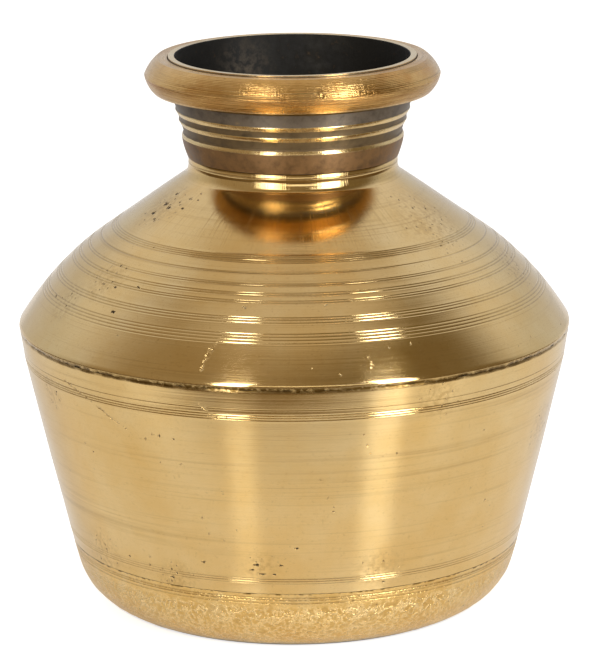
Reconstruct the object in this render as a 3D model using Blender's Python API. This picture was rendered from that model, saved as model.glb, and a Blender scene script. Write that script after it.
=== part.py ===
"""A brass kalash pot: turned brass walls lapped into each other and brazed, under a heavy cast rim ring.

Metres, +Z up, standing on the plane z = 0 with the pot's axis on Z. Every piece is turned about Z, so each
one is an outline in radius and height. The sizes below fix the outer surface, and the laps inside follow it.
"""

import collections
import math

import bmesh
import bpy

# Body, outside
LARGEST_RADIUS = 0.1256
BREAK_HEIGHT = 0.1290           # height of the largest radius, where the shoulder turns into the belly
BREAK_ROUNDING = 0.0060
CROWN_RADIUS = 0.1380           # curve of the outer part of the shoulder
CROWN_FOOT_TILT = math.radians(33.0)
SHOULDER_TILT = math.radians(53.4)
BELLY_BOW = 0.0006              # how far the belly stands out from a straight cone
HEEL_RADIUS = 0.1009
HEEL_HEIGHT = 0.0201
FOOT_RADIUS = 0.0824            # flat underside that the pot stands on
WALL = 0.0020

# Seams and laps of the body
SKIRT = 0.0017                  # straight edge of the shoulder below the rounded break
PAN_SEAM_HEIGHT = 0.0305
BREAK_LAP_TILT = math.radians(26.0)
PAN_LAP = 0.0090
JOGGLE = 0.0030                 # length over which a wall steps inwards to make its lap

# Collar at the mouth of the shoulder
COLLAR_RADIUS = 0.0475
COLLAR_FILLET = 0.0040
COLLAR_BAND = 0.0040
SPIGOT_LENGTH = 0.0100

# Neck, with heights measured up from its foot on the collar
NECK_HEIGHT = 0.0455
LIP_RADIUS = 0.0561
LIP_WALL = 0.0030
NECK_SEAT_RADIUS = 0.0552
NECK_WAIST_RADIUS = 0.0494
BAND_RADIUS = 0.0503
BAND_FOOT_RADIUS = 0.0479
BAND_HEIGHT = 0.0083
BAND_CHAMFER = 0.0022
BAND_FALL_POWER = 1.5           # how sharply the band below the ridges draws in towards its foot
RIDGE_PROUD = 0.0004
RIDGE_WIDTH = 0.0025
RIDGE_HEIGHTS = (0.0137, 0.0186)

# Rim ring, with depths measured down from the lip
RING_DROP = 0.0007
RING_FLAT_RADIUS = 0.0612
RING_NOSE_RADIUS = 0.0669
RING_NOSE_DEPTH = 0.0083
RING_EDGE_RADIUS = 0.0630
RING_DEPTH = 0.0157
RING_BOW = 0.0007               # how far the two bevels stand out from straight

# Joints
CLEARANCE = 0.0003
BRAZE_LEG = 0.0020
BRAZE_RUN = 0.0032
BRAZE_THROAT = 0.0016           # thickness of a fillet of spelter on the end of a lap

SEGMENTS = 48
MERGE_DISTANCE = 1e-6
SHARP_ANGLE = math.radians(30.0)

# A place on the outer surface, with the angle of its outward normal above the horizontal
Place = collections.namedtuple("Place", "radius height tilt")


def below(place, depth):
    """The (radius, height) this deep under a place of the surface, along its normal."""
    return (
        place.radius - depth * math.cos(place.tilt),
        place.height - depth * math.sin(place.tilt),
    )


def between(first, last, steps):
    """Evenly spaced numbers from first to last, both included."""
    return [first + (last - first) * i / steps for i in range(steps + 1)]


def arc(centre, radius, first_tilt, last_tilt, steps):
    """Places along a rounded stretch that bulges outwards."""
    return [
        Place(centre[0] + radius * math.cos(tilt), centre[1] + radius * math.sin(tilt), tilt)
        for tilt in between(first_tilt, last_tilt, steps)
    ]


def hollow_arc(centre, radius, first_tilt, last_tilt, steps):
    """Places along a rounded stretch that is hollow to the outside."""
    return [
        Place(centre[0] - radius * math.cos(tilt), centre[1] - radius * math.sin(tilt), tilt)
        for tilt in between(first_tilt, last_tilt, steps)
    ]


def bowed(first, last, bow, shares):
    """Places on the line from first down to last, bowed outwards, at these shares of its length."""
    run = (last[0] - first[0], last[1] - first[1])
    length = math.hypot(*run)
    tilt = math.atan2(run[0], -run[1])
    places = []
    for share in shares:
        rise = 4 * bow * share * (1 - share)
        places.append(Place(
            first[0] + run[0] * share + rise * math.cos(tilt),
            first[1] + run[1] * share + rise * math.sin(tilt),
            tilt + math.atan(4 * bow * (1 - 2 * share) / length),
        ))
    return places


# Break and crown of the shoulder: the crown's curve runs into the rounded break at the crown's foot
BREAK_CENTRE = (LARGEST_RADIUS - BREAK_ROUNDING, BREAK_HEIGHT)
CROWN_CENTRE = (
    BREAK_CENTRE[0] - (CROWN_RADIUS - BREAK_ROUNDING) * math.cos(CROWN_FOOT_TILT),
    BREAK_CENTRE[1] - (CROWN_RADIUS - BREAK_ROUNDING) * math.sin(CROWN_FOOT_TILT),
)
CROWN_TOP = arc(CROWN_CENTRE, CROWN_RADIUS, SHOULDER_TILT, SHOULDER_TILT, 1)[0]

# Fillet between the shoulder's cone and the collar
FILLET_RADIUS_OUT = COLLAR_RADIUS + COLLAR_FILLET
FILLET_CENTRE = (
    FILLET_RADIUS_OUT,
    CROWN_TOP.height
    + (COLLAR_FILLET - (FILLET_RADIUS_OUT - CROWN_TOP.radius) * math.cos(SHOULDER_TILT))
    / math.sin(SHOULDER_TILT),
)
COLLAR_TOP = FILLET_CENTRE[1] + COLLAR_BAND

# Belly: a cone that leaves the rounded break smoothly and runs to the heel
HEEL_REACH = (HEEL_RADIUS - BREAK_CENTRE[0], HEEL_HEIGHT - BREAK_CENTRE[1])
BELLY_TILT = (
    math.atan2(HEEL_REACH[1], HEEL_REACH[0])
    + math.acos(BREAK_ROUNDING / math.hypot(*HEEL_REACH))
)
BELLY_TOP = arc(BREAK_CENTRE, BREAK_ROUNDING, BELLY_TILT, BELLY_TILT, 1)[0]
BELLY_LENGTH = math.hypot(HEEL_RADIUS - BELLY_TOP.radius, HEEL_HEIGHT - BELLY_TOP.height)

# Neck and rim heights, from the collar upwards
NECK_FOOT = COLLAR_TOP + CLEARANCE
LIP_TOP = NECK_FOOT + NECK_HEIGHT
RING_TOP = LIP_TOP - RING_DROP
RING_UNDERSIDE = LIP_TOP - RING_DEPTH
BAND_TOP = NECK_FOOT + BAND_HEIGHT
WAIST = BAND_TOP + BAND_CHAMFER
SPIGOT_RADIUS = COLLAR_RADIUS - WALL - CLEARANCE


def belly(first_share, last_share, steps):
    """Places down the belly between two shares of its length."""
    shares = between(first_share, last_share, steps)
    return bowed(BELLY_TOP[:2], (HEEL_RADIUS, HEEL_HEIGHT), BELLY_BOW, shares)


def belly_share(distance):
    """The share of the belly's length that lies this far down it."""
    return distance / BELLY_LENGTH


BREAK_SEAM = belly_share(SKIRT)
PAN_SEAM = (BELLY_TOP.height - PAN_SEAM_HEIGHT) / (BELLY_TOP.height - HEEL_HEIGHT)


def heel(steps):
    """Places round the heel, from the end of the belly to the edge of the flat underside."""
    start = belly(1.0, 1.0, 1)[0]
    span = (start.radius - FOOT_RADIUS, start.height)
    facing = span[0] * math.cos(start.tilt) + span[1] * math.sin(start.tilt)
    radius = (span[0] ** 2 + span[1] ** 2) / (2 * facing)
    centre = below(start, radius)
    end_tilt = math.atan2(-centre[1], FOOT_RADIUS - centre[0])
    return arc(centre, radius, start.tilt, end_tilt, steps)


def neck_cone(height):
    """Radius of the neck's cone between the rim ring's seat and the waist."""
    share = (height - WAIST) / (RING_UNDERSIDE - WAIST)
    return NECK_WAIST_RADIUS + (NECK_SEAT_RADIUS - NECK_WAIST_RADIUS) * share


def rim_ring_outline():
    """Heavy ring round the lip: a flat top, two slightly bowed bevels and a flat underside."""
    flat_edge = (RING_FLAT_RADIUS, RING_TOP)
    nose = (RING_NOSE_RADIUS, LIP_TOP - RING_NOSE_DEPTH)
    lower_edge = (RING_EDGE_RADIUS, RING_UNDERSIDE)
    upper_bevel = bowed(flat_edge, nose, RING_BOW, between(0, 1, 4))
    lower_bevel = bowed(nose, lower_edge, RING_BOW, between(0, 1, 3))
    bore = [
        (NECK_SEAT_RADIUS + CLEARANCE, RING_UNDERSIDE),
        (LIP_RADIUS + CLEARANCE, RING_TOP),
    ]
    return [place[:2] for place in upper_bevel + lower_bevel[1:]] + bore


def neck_collar_outline():
    """Flared neck: lip, cone with two proud ridges, a chamfered band, and a spigot inside the collar."""
    outside = [
        (LIP_RADIUS, LIP_TOP),
        (NECK_SEAT_RADIUS, RING_UNDERSIDE),
    ]
    for height in sorted(RIDGE_HEIGHTS, reverse=True):
        top = NECK_FOOT + height + RIDGE_WIDTH
        bottom = NECK_FOOT + height
        outside.append((neck_cone(top), top))
        outside.append((neck_cone(top) + RIDGE_PROUD, top - RIDGE_PROUD))
        outside.append((neck_cone(bottom) + RIDGE_PROUD, bottom + RIDGE_PROUD))
        outside.append((neck_cone(bottom), bottom))
    outside.append((NECK_WAIST_RADIUS, WAIST))
    for share in between(0, 1, 4):
        fall = (BAND_RADIUS - BAND_FOOT_RADIUS) * share ** BAND_FALL_POWER
        outside.append((BAND_RADIUS - fall, BAND_TOP - BAND_HEIGHT * share))
    spigot_end = COLLAR_TOP - SPIGOT_LENGTH
    spigot_bore = SPIGOT_RADIUS - WALL
    spigot = [
        (SPIGOT_RADIUS, NECK_FOOT),
        (SPIGOT_RADIUS, spigot_end),
        (spigot_bore, spigot_end),
        (spigot_bore, NECK_FOOT),
    ]
    inside = [
        (NECK_WAIST_RADIUS - LIP_WALL, WAIST),
        (NECK_SEAT_RADIUS - LIP_WALL, RING_UNDERSIDE),
        (LIP_RADIUS - LIP_WALL, LIP_TOP),
    ]
    return outside + spigot + inside


def shoulder_shell_outline():
    """Shoulder wall, from its upright collar over the cone and crown to the edge below the break."""
    surface = [Place(COLLAR_RADIUS, COLLAR_TOP, 0.0)]
    surface += hollow_arc(FILLET_CENTRE, COLLAR_FILLET, 0.0, SHOULDER_TILT, 4)
    surface += arc(CROWN_CENTRE, CROWN_RADIUS, SHOULDER_TILT, CROWN_FOOT_TILT, 4)
    surface += arc(BREAK_CENTRE, BREAK_ROUNDING, CROWN_FOOT_TILT, BELLY_TILT, 5)[1:]
    surface += belly(BREAK_SEAM, BREAK_SEAM, 1)[:1]
    inner = [below(place, WALL) for place in reversed(surface)]
    return [place[:2] for place in surface] + inner


def belly_shell_outline():
    """Belly wall, with a lap at its top that steps in behind the shoulder's edge."""
    lap_face = WALL + CLEARANCE
    lap_back = lap_face + WALL
    ledge = BREAK_SEAM + belly_share(CLEARANCE)
    step_top = ledge + belly_share(WALL)
    step_foot = step_top + belly_share(JOGGLE)
    outer = belly(ledge, PAN_SEAM, 3)
    inner = belly(PAN_SEAM, step_foot, 3)
    lap = belly(step_top, step_top, 1)[:1]
    lap += arc(BREAK_CENTRE, BREAK_ROUNDING, BELLY_TILT, BREAK_LAP_TILT, 3)
    outline = [place[:2] for place in outer]
    outline += [below(place, WALL) for place in inner]
    outline += [below(place, lap_back) for place in lap]
    outline += [below(place, lap_face) for place in reversed(lap[1:])]
    outline.append(below(outer[0], lap_face))
    return outline


def base_pan_outline():
    """Dished base: an upright lap behind the belly's lower edge, the heel and a flat floor."""
    lap_face = WALL + CLEARANCE
    lap_back = lap_face + WALL
    ledge = PAN_SEAM + belly_share(CLEARANCE)
    lap_top = ledge - belly_share(PAN_LAP)
    step_top = ledge + belly_share(WALL)
    step_foot = step_top + belly_share(JOGGLE)
    floor = below(heel(1)[-1], WALL)
    outline = [(0.0, floor[1])]
    outline += [below(place, WALL) for place in reversed(heel(5))]
    outline.append(below(belly(step_foot, step_foot, 1)[0], WALL))
    outline += [below(place, lap_back) for place in belly(step_top, lap_top, 2)]
    outline += [below(place, lap_face) for place in belly(lap_top, ledge, 2)]
    outline += [place[:2] for place in belly(ledge, 1.0, 1)]
    outline += [place[:2] for place in heel(5)[1:]]
    outline.append((0.0, 0.0))
    return outline


def rim_braze_outline():
    """Fillet of spelter under the rim ring, against the neck."""
    top = RING_UNDERSIDE - CLEARANCE
    foot = top - BRAZE_LEG
    return [
        (neck_cone(top) + CLEARANCE + BRAZE_LEG, top),
        (neck_cone(foot) + CLEARANCE, foot),
        (neck_cone(top) + CLEARANCE, top),
    ]


def neck_braze_outline():
    """Fillet of spelter inside the shoulder, where its fillet leaves the neck's spigot."""
    depth = WALL + CLEARANCE
    start_tilt = math.acos((COLLAR_FILLET + WALL) / (COLLAR_FILLET + depth))
    face = hollow_arc(FILLET_CENTRE, COLLAR_FILLET, start_tilt, SHOULDER_TILT, 3)
    outline = [below(place, depth) for place in face]
    outline.append((SPIGOT_RADIUS + CLEARANCE, outline[-1][1]))
    return outline


def belly_braze_outline():
    """Fillet of spelter inside the break, on the end of the belly's lap."""
    depth = WALL + CLEARANCE
    seat_radius = BREAK_ROUNDING - depth
    seat_tilt = BREAK_LAP_TILT + CLEARANCE / seat_radius
    seat = arc(BREAK_CENTRE, BREAK_ROUNDING, seat_tilt, seat_tilt, 1)[0]
    end_tilt = CROWN_FOOT_TILT + BRAZE_RUN / CROWN_RADIUS
    end = arc(CROWN_CENTRE, CROWN_RADIUS, end_tilt, end_tilt, 1)[0]
    return [below(end, depth), below(seat, depth), below(seat, depth + BRAZE_THROAT)]


def base_braze_outline():
    """Fillet of spelter inside the belly, on the end of the base pan's lap."""
    depth = WALL + CLEARANCE
    seat_share = PAN_SEAM - belly_share(PAN_LAP)
    end_share = seat_share - belly_share(BRAZE_RUN)
    end, seat = belly(end_share, seat_share, 1)
    return [below(end, depth), below(seat, depth), below(seat, depth + BRAZE_THROAT)]


def brass(name, colour, roughness):
    """A plain metal material."""
    material = bpy.data.materials.new(name)
    material.use_nodes = True
    shader = material.node_tree.nodes["Principled BSDF"]
    shader.inputs["Base Color"].default_value = (*colour, 1.0)
    shader.inputs["Metallic"].default_value = 1.0
    shader.inputs["Roughness"].default_value = roughness
    material.diffuse_color = (*colour, 1.0)
    return material


def turned(name, outline, material, parent):
    """Spin an outline of (radius, height) points about Z. One that starts and ends on the axis stays open."""
    mesh = bpy.data.meshes.new(name)
    shape = bmesh.new()
    points = [shape.verts.new((radius, 0.0, height)) for radius, height in outline]
    edges = [shape.edges.new(pair) for pair in zip(points, points[1:])]
    if outline[0][0] > 0:
        edges.append(shape.edges.new((points[-1], points[0])))
    bmesh.ops.spin(
        shape,
        geom=points + edges,
        cent=(0.0, 0.0, 0.0),
        axis=(0.0, 0.0, 1.0),
        angle=2 * math.pi,
        steps=SEGMENTS,
        use_merge=True,
    )
    bmesh.ops.remove_doubles(shape, verts=shape.verts, dist=MERGE_DISTANCE)
    bmesh.ops.recalc_face_normals(shape, faces=shape.faces)
    shape.to_mesh(mesh)
    shape.free()
    mesh.shade_smooth()
    mesh.set_sharp_from_angle(angle=SHARP_ANGLE)
    mesh.materials.append(material)
    piece = bpy.data.objects.new(name, mesh)
    piece.parent = parent
    bpy.context.collection.objects.link(piece)
    return piece


def main():
    for item in list(bpy.data.objects):
        bpy.data.objects.remove(item)
    pot = bpy.data.objects.new("pot_axis", None)
    bpy.context.collection.objects.link(pot)

    turned("rim_ring", rim_ring_outline(), brass("satin_brass", (0.52, 0.30, 0.09), 0.35), pot)
    turned("neck_collar", neck_collar_outline(), brass("oxidised_brass", (0.16, 0.11, 0.06), 0.50), pot)
    turned("shoulder_shell", shoulder_shell_outline(), brass("shoulder_brass", (0.62, 0.43, 0.18), 0.18), pot)
    turned("belly_shell", belly_shell_outline(), brass("belly_brass", (0.66, 0.48, 0.21), 0.20), pot)
    turned("base_pan", base_pan_outline(), brass("peened_brass", (0.60, 0.42, 0.17), 0.32), pot)
    turned("rim_braze", rim_braze_outline(), brass("rim_spelter", (0.45, 0.36, 0.18), 0.45), pot)
    turned("neck_braze", neck_braze_outline(), brass("neck_spelter", (0.45, 0.36, 0.18), 0.45), pot)
    turned("belly_braze", belly_braze_outline(), brass("belly_spelter", (0.45, 0.36, 0.18), 0.45), pot)
    turned("base_braze", base_braze_outline(), brass("base_spelter", (0.45, 0.36, 0.18), 0.45), pot)


main()
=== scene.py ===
"""The look of a brass kalash pot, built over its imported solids.

Metres, +Z up, with the pot's axis on Z and the camera on the -Y side. Every piece is turned about Z like
the real one: an outline is traced down the wall, lines are cut into it, and hand-made unevenness is laid
over it.
"""

import math

import bpy
import numpy as np
from mathutils import Matrix, Vector


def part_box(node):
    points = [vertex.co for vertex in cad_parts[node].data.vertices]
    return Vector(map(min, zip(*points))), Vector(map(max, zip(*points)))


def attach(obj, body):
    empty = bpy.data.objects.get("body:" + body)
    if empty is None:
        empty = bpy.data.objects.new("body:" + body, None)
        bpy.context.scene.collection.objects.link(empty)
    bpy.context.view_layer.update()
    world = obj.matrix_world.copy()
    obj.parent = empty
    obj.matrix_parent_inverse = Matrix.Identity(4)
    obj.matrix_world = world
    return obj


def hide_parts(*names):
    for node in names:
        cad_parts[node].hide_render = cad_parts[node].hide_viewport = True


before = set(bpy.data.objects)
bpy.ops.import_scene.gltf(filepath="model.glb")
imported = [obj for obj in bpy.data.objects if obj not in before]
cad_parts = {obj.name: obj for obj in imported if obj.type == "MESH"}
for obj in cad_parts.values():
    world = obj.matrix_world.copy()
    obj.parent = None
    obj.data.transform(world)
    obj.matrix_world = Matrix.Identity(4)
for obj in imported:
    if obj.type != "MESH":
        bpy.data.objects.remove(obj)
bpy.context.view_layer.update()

MM = 0.001
TURN = 2 * math.pi

# Sizes that the solids fix
RING_LOW, RING_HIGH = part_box("rim_ring")
NECK_LOW, NECK_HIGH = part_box("neck_collar")
LIP_TOP = NECK_HIGH.z
SPIGOT_END = NECK_LOW.z
RING_TOP = RING_HIGH.z
RING_UNDERSIDE = RING_LOW.z
RING_NOSE_RADIUS = RING_HIGH.x
COLLAR_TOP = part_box("shoulder_shell")[1].z

# Body, outside
LARGEST_RADIUS = 125.73 * MM
BREAK_HEIGHT = 129.54 * MM
BREAK_ROUNDING = 3.5 * MM
CROWN_RADIUS = 138.0 * MM
CROWN_FOOT_TILT = math.radians(32.58)
SHOULDER_TILT = math.radians(53.4)
BELLY_BOW = 0.6 * MM
HEEL_RADIUS = 100.9 * MM
HEEL_HEIGHT = 20.1 * MM
FOOT_RADIUS = 82.4 * MM
FLAT_RING_RADIUS = 0.5 * FOOT_RADIUS     # a row of points on the flat bottom
WALL = 2.0 * MM
CLEARANCE = 0.3 * MM

# Seams and laps
SKIRT = 0.3 * MM
PAN_SEAM_HEIGHT = 30.5 * MM
BREAK_LAP_TILT = math.radians(26.0)
LAP_CENTRE = (119.6 * MM, 129.0 * MM)
LAP_ROUNDING = 6.0 * MM
LAP_FACE = WALL + CLEARANCE
LAP_BACK = LAP_FACE + WALL
PAN_LAP = 9.0 * MM
JOGGLE = 3.0 * MM
SEAM_FILL = 0.2 * MM            # how far spelter fills the gap of a seam
SEAM_ROLL = 1.5 * MM            # the edge at the break is rolled in over this width
SEAM_DROP = 0.40 * MM
BREAK_RAGGED = 0.05 * MM        # how far the edges of the seams wander
BELLY_RAGGED = 0.12 * MM
BASE_RAGGED = 0.08 * MM

# Collar, neck and ring
COLLAR_RADIUS = 47.5 * MM
COLLAR_FILLET = 4.0 * MM        # of the solid, which the braze lies in
COLLAR_BAND = 4.0 * MM
COLLAR_LINE = 2.1 * MM          # a line is turned round the collar this far below its top
COLLAR_LINE_HALF_WIDTH = 0.4 * MM
COLLAR_LINE_DEPTH = 0.22 * MM
LAND_TILTS = (math.radians(8.0), math.radians(13.0))    # of the land below the line, top and foot
LAND_LENGTH = 1.3 * MM
LAND_FILLET = 5.0 * MM
LIP_RADIUS = 56.1 * MM
LIP_WALL = 3.0 * MM
LIP_ROUNDING = 0.3 * MM
NECK_SEAT_RADIUS = 55.2 * MM
NECK_WAIST_RADIUS = 49.4 * MM
BAND_RADIUS = 50.3 * MM
BAND_FOOT_RADIUS = 47.9 * MM
BAND_HEIGHT = 9.3 * MM
BAND_CHAMFER = 2.0 * MM
BAND_FALL_POWER = 1.5
BAND_EDGE = (0.15 * MM, 0.5 * MM)       # in from the band's radius and up from its top
RIDGE_PROUD = 0.4 * MM
RIDGE_WIDTH = 2.5 * MM
RIDGE_SOFT = 0.25 * MM
RIDGE_HEIGHTS = (19.5 * MM, 14.6 * MM)
RIDGE_SHAPE = ((0.25, 0.1), (0.85, 0.8), (1.0, 1.6))    # out and down from its edge, times RIDGE_PROUD
RING_FLAT_RADIUS = 61.2 * MM
RING_NOSE_DEPTH = 8.3 * MM
RING_EDGE_RADIUS = 63.0 * MM
RING_BOW = 0.7 * MM
RING_BORE_EDGE = 0.2 * MM

# Heights and radii that follow
NECK_FOOT = COLLAR_TOP + CLEARANCE
BAND_TOP = NECK_FOOT + BAND_HEIGHT
WAIST = BAND_TOP + BAND_CHAMFER
NOSE_HEIGHT = LIP_TOP - RING_NOSE_DEPTH
SPIGOT_RADIUS = COLLAR_RADIUS - WALL - CLEARANCE

# Braze fillets
BRAZE_LEG = 2.0 * MM
BRAZE_RUN = 3.2 * MM
BRAZE_THROAT = 1.6 * MM
BRAZE_SAG = 0.25

# Groups of turned lines in millimetres: first line, count, step, half width, depth
SHOULDER_LINES = (              # by radius
    (79.7, 4, 0.9, 0.42, 0.13),
    (87.3, 1, 0.0, 0.45, 0.13),
    (92.2, 2, 0.9, 0.42, 0.12),
    (96.3, 2, 1.0, 0.45, 0.12),
    (99.5, 2, 0.9, 0.42, 0.12),
    (105.8, 2, 0.9, 0.45, 0.12),
    (107.7, 1, 0.0, 0.45, 0.12),
    (111.4, 4, 1.0, 0.45, 0.12),
)
BELLY_LINES = (                 # by height
    (119.5, 1, 0.0, 0.32, 0.05),
    (117.0, 1, 0.0, 0.45, 0.12),
    (115.9, 2, -1.1, 0.45, 0.13),
    (37.8, 3, -1.1, 0.42, 0.12),
)
PAN_LINES = (                   # by height
    (28.3, 1, 0.0, 0.45, 0.13),
    (27.2, 1, 0.0, 0.42, 0.12),
    (25.6, 1, 0.0, 0.45, 0.13),
)
LOWEST_LINE = PAN_LINES[-1][0] * MM
RING_LINES = 13
RING_LINE_SPAN = (0.7 * MM, 10.2 * MM)
RING_LINE_SHIFT = 0.15          # this and the next two in millimetres
RING_LINE_HALF_WIDTHS = (0.24, 0.38)
RING_LINE_DEPTHS = (0.05, 0.10)
GROOVE_STATIONS = np.array([-1.5, -1.15, -0.9, -0.5, 0.0, 0.5, 0.9, 1.15, 1.5])
GROOVE_WANDER = 0.25
BURR_PLACE = 1.2
BURR_REACH = 0.4
BURR_SHARE = 0.25

# Unevenness
CONE_SET = ((50, 0.7), (62, 0.25), (92.6, -0.45), (122, 0.0))   # how deep the cone lies by radius, in mm
KINK_SHIFTS = np.linspace(-5, 5, 21) * MM
FACET_FOOT = 115.6 * MM         # the belly is turned steeper from the break down to here
FACET_FADE = 50.0 * MM
FACET_PROUD = 0.6 * MM
BODY_WAVE = 90 * MM             # length of the slow unevenness, and its height on each wall
SHOULDER_UNEVEN = 0.06 * MM
BELLY_UNEVEN = 0.08 * MM
RING_WAVE = 20 * MM
RING_UNEVEN = 0.05 * MM
RING_CHATTER = 0.012 * MM
NECK_WAVE = 30 * MM
NECK_UNEVEN = 0.04 * MM
RING_NICKS = 34
NICK_PLACES = (0.25, 0.75)      # as a share of the way down the ring
NICK_SIZES = (0.6 * MM, 1.6 * MM)
NICK_DEPTH = 0.22 * MM
DENTS = 2600
DENT_SIZE = 3.6 * MM
DENT_DEPTH = 0.22 * MM
DENTS_BELOW = 24 * MM
DENTS_FADE = 3 * MM
DENTS_FOOT = 2 * MM
DENTS_ABOVE = 0.15              # share of the dents' depth that is left above them

# Rows of points down the walls, with turns in degrees, and steps round the pot
ROW = 1.6 * MM
ROW_TURN = 2.5
ROW_GAP = 0.04 * MM
RING_ROW = 0.5 * MM
RING_ROW_TURN = 6.0
INSIDE_ROW = 8 * MM
LAP_ROW = 3 * MM
INSIDE_TURN = 8.0
HEEL_ROW = 6 * MM
HEEL_ROW_TURN = 12.0
DENSE = 60
BODY_STEPS = 360
PEEN_STEPS = 720
RING_STEPS = 480
BEAD_STEPS = 180
SHARP_ANGLE = math.radians(38.0)
CUT_NAME = "cut"

# Marks on the brass
UNROLL = 50 * MM                # length along the turning for one radian, in the places of gouges
WIPED_TO = 78 * MM              # the shoulder is wiped along its slope within this radius
WIPE_EDGE = 4 * MM
BELLY_RESIDUE = 0.16            # how much polish is left in the lines
PAN_RESIDUE = 0.4
SHOULDER_RESIDUE_AND_SHADE = (0.02, 0.42)     # at the front and back, and how much more at the sides, where it is painted shade on the lines
SHOULDER_SLOPE = (0.80, -0.60)      # how radius and height change down the wall
BELLY_SLOPE = (0.20, -0.98)
SHOULDER_ROUGHNESS = 0.12
BELLY_ROUGHNESS = 0.14
SHOULDER_SPREAD = 0.80              # of reflections across the turned lines
BELLY_SPREAD = 0.85
WIPED_SPREAD = 0.2

# Colours
BRASS = (0.70, 0.50, 0.22)
WARM_BRASS = (0.67, 0.45, 0.17)
PALE_BRASS = (0.74, 0.56, 0.28)
LINE_BRASS = (0.34, 0.21, 0.07)
RING_DEEP = (0.55, 0.30, 0.09)
RING_BRASS = (0.65, 0.41, 0.15)
RING_PALE = (0.70, 0.46, 0.19)
RING_RED = (0.40, 0.17, 0.05)
RING_UNDER_NOSE_SHADE = (0.40, 0.22, 0.065)
RING_UNDER = (0.50, 0.30, 0.10)
RING_WORN_HIGHLIGHT = (0.86, 0.68, 0.42)
PIT_AND_SHADE = (0.050, 0.034, 0.016)
SEAM_DARK = (0.12, 0.066, 0.014)
OXIDE_GREY = (0.185, 0.152, 0.115)
OXIDE_BROWN = (0.240, 0.135, 0.055)
OXIDE_DARK = (0.165, 0.116, 0.058)
# Soot, and also the colour of painted shade under the ring.
SOOT_AND_SHADE = (0.016, 0.014, 0.010)
SPELTER = (0.32, 0.22, 0.085)
SPELTER_PALE = (0.40, 0.29, 0.12)
PEEN_BRASS = (0.72, 0.49, 0.18)
PEEN_WARM = (0.66, 0.42, 0.14)
PEEN_PALE = (0.95, 0.76, 0.42)
INSIDE_BLACK = (0.004, 0.0035, 0.0025)
INSIDE_BROWN = (0.009, 0.008, 0.006)
INSIDE_GREY = (0.030, 0.027, 0.021)

# Floor: a white sheet on a brown floor, with the places where it brightens in reflections
FLOOR_HALF = 2.5
FLOOR_WHITE = (0.82, 0.82, 0.82)
FLOOR_BROWN = (0.20, 0.14, 0.07)
FLOOR_LIFT = 0.74
FLOOR_GLOSS = 0.5
FLOOR_ROUGHNESS = 0.18
REFLECTED_LIFT = 0.22
FRONT_EDGE = 0.293              # the sheet ends this far in front of the pot, on a slight slant
FRONT_SLANT = 0.122
FRONT_BLUR = 0.012
SIDE_EDGE = 0.5
SIDE_BLUR = 0.02
BACK_SPREAD = (0.45, 0.7)       # the sheet widens behind the pot between these
DIM_FRONT = (-0.245, -0.18)
DIM_SHARE = 0.1
CORNER_ASIDE = (0.15, 0.23)
CORNER_AHEAD = (-0.13, -0.19)
CORNER_GAIN = 0.8

# Room, by the direction looked in
ROOM_BACK = (0.67, 0.68, 0.71)
ROOM_HIGH = (0.87, 0.87, 0.93)
ROOM_LEFT = (0.38, 0.30, 0.20)
ROOM_RIGHT = (0.22, 0.17, 0.10)
ROOM_OVERHEAD = (0.70, 0.62, 0.53)
HIGH_RISE = (0.25, 0.6)
LEFT_TO_BACK = (-0.2, 0.55)
RIGHT_TO_BACK = (-0.05, 0.42)
LEFT_TO_RIGHT = (-0.3, 0.6)
OVERHEAD_RISE = (0.80, 0.97)

# Upright softboxes: name, degrees to the camera's right, distance, width, lower and upper edge, radiance
SOFTBOXES = (
    ("left_softbox", -25.0, 1.3, 0.27, 0.05, 1.22, 7.6),
    ("right_softbox", 40.0, 1.3, 0.34, 0.05, 1.14, 11.0),
    ("front_panel", 7.0, 1.3, 1.15, 0.30, 0.48, 1.3),
)

# Camera
CAMERA_DISTANCE = 1.7444
CAMERA_ABOVE_LIP = 0.3066
CAMERA_PITCH = math.radians(14.046)
CAMERA_ROLL = -0.008
CAMERA_LENS = 211.66
CAMERA_SENSOR = 36.0
CAMERA_SHIFT = 0.0075


class Path:
    """A wall's outer surface, traced downwards as radius and height against the distance along it."""

    def __init__(self, *stretches):
        points = np.vstack(stretches)
        keep = np.ones(len(points), bool)
        keep[1:] = np.hypot(*np.diff(points, axis=0).T) > 1e-7
        points = points[keep]
        steps = np.hypot(*np.diff(points, axis=0).T)
        self.along = np.concatenate([[0.0], np.cumsum(steps)])
        self.radius, self.height = points.T
        self.length = self.along[-1]
        turn_radius = np.gradient(self.radius, self.along)
        turn_height = np.gradient(self.height, self.along)
        self.tilt = np.unwrap(np.arctan2(turn_radius, -turn_height))

    def at(self, marks):
        """Radius, height and tilt of the normal at these distances along the path."""
        return tuple(np.interp(marks, self.along, line) for line in (self.radius, self.height, self.tilt))

    def under(self, marks, depth):
        """Points this deep under the surface."""
        radius, height, tilt = self.at(marks)
        return np.column_stack([radius - depth * np.cos(tilt), height - depth * np.sin(tilt)])

    def at_height(self, height):
        """Distance along a path that only falls."""
        return float(np.interp(-height, -self.height, self.along))

    def at_radius(self, radius):
        """Distance along a path that only widens, as far as its widest place."""
        widest = int(np.argmax(self.radius))
        return float(np.interp(radius, self.radius[:widest], self.along[:widest]))

    def marks(self, spacing, turn, grooves=()):
        """Distances to put rows of points at: even, closer where the surface turns, and at each groove."""
        turning = np.abs(np.gradient(self.tilt, self.along))
        density = np.maximum(1 / spacing, turning / math.radians(turn))
        count = np.concatenate([[0.0], np.cumsum(np.diff(self.along) * (density[1:] + density[:-1]) / 2)])
        rows = max(2, math.ceil(count[-1]))
        marks = [np.interp(np.linspace(0, count[-1], rows + 1), count, self.along)]
        for groove in grooves:
            marks.append(groove.place + groove.half_width * GROOVE_STATIONS)
        marks = np.sort(np.concatenate(marks))
        marks = marks[(marks >= 0) & (marks <= self.length)]
        apart = np.concatenate([[True], np.diff(marks) > ROW_GAP])
        return marks[apart]


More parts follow.
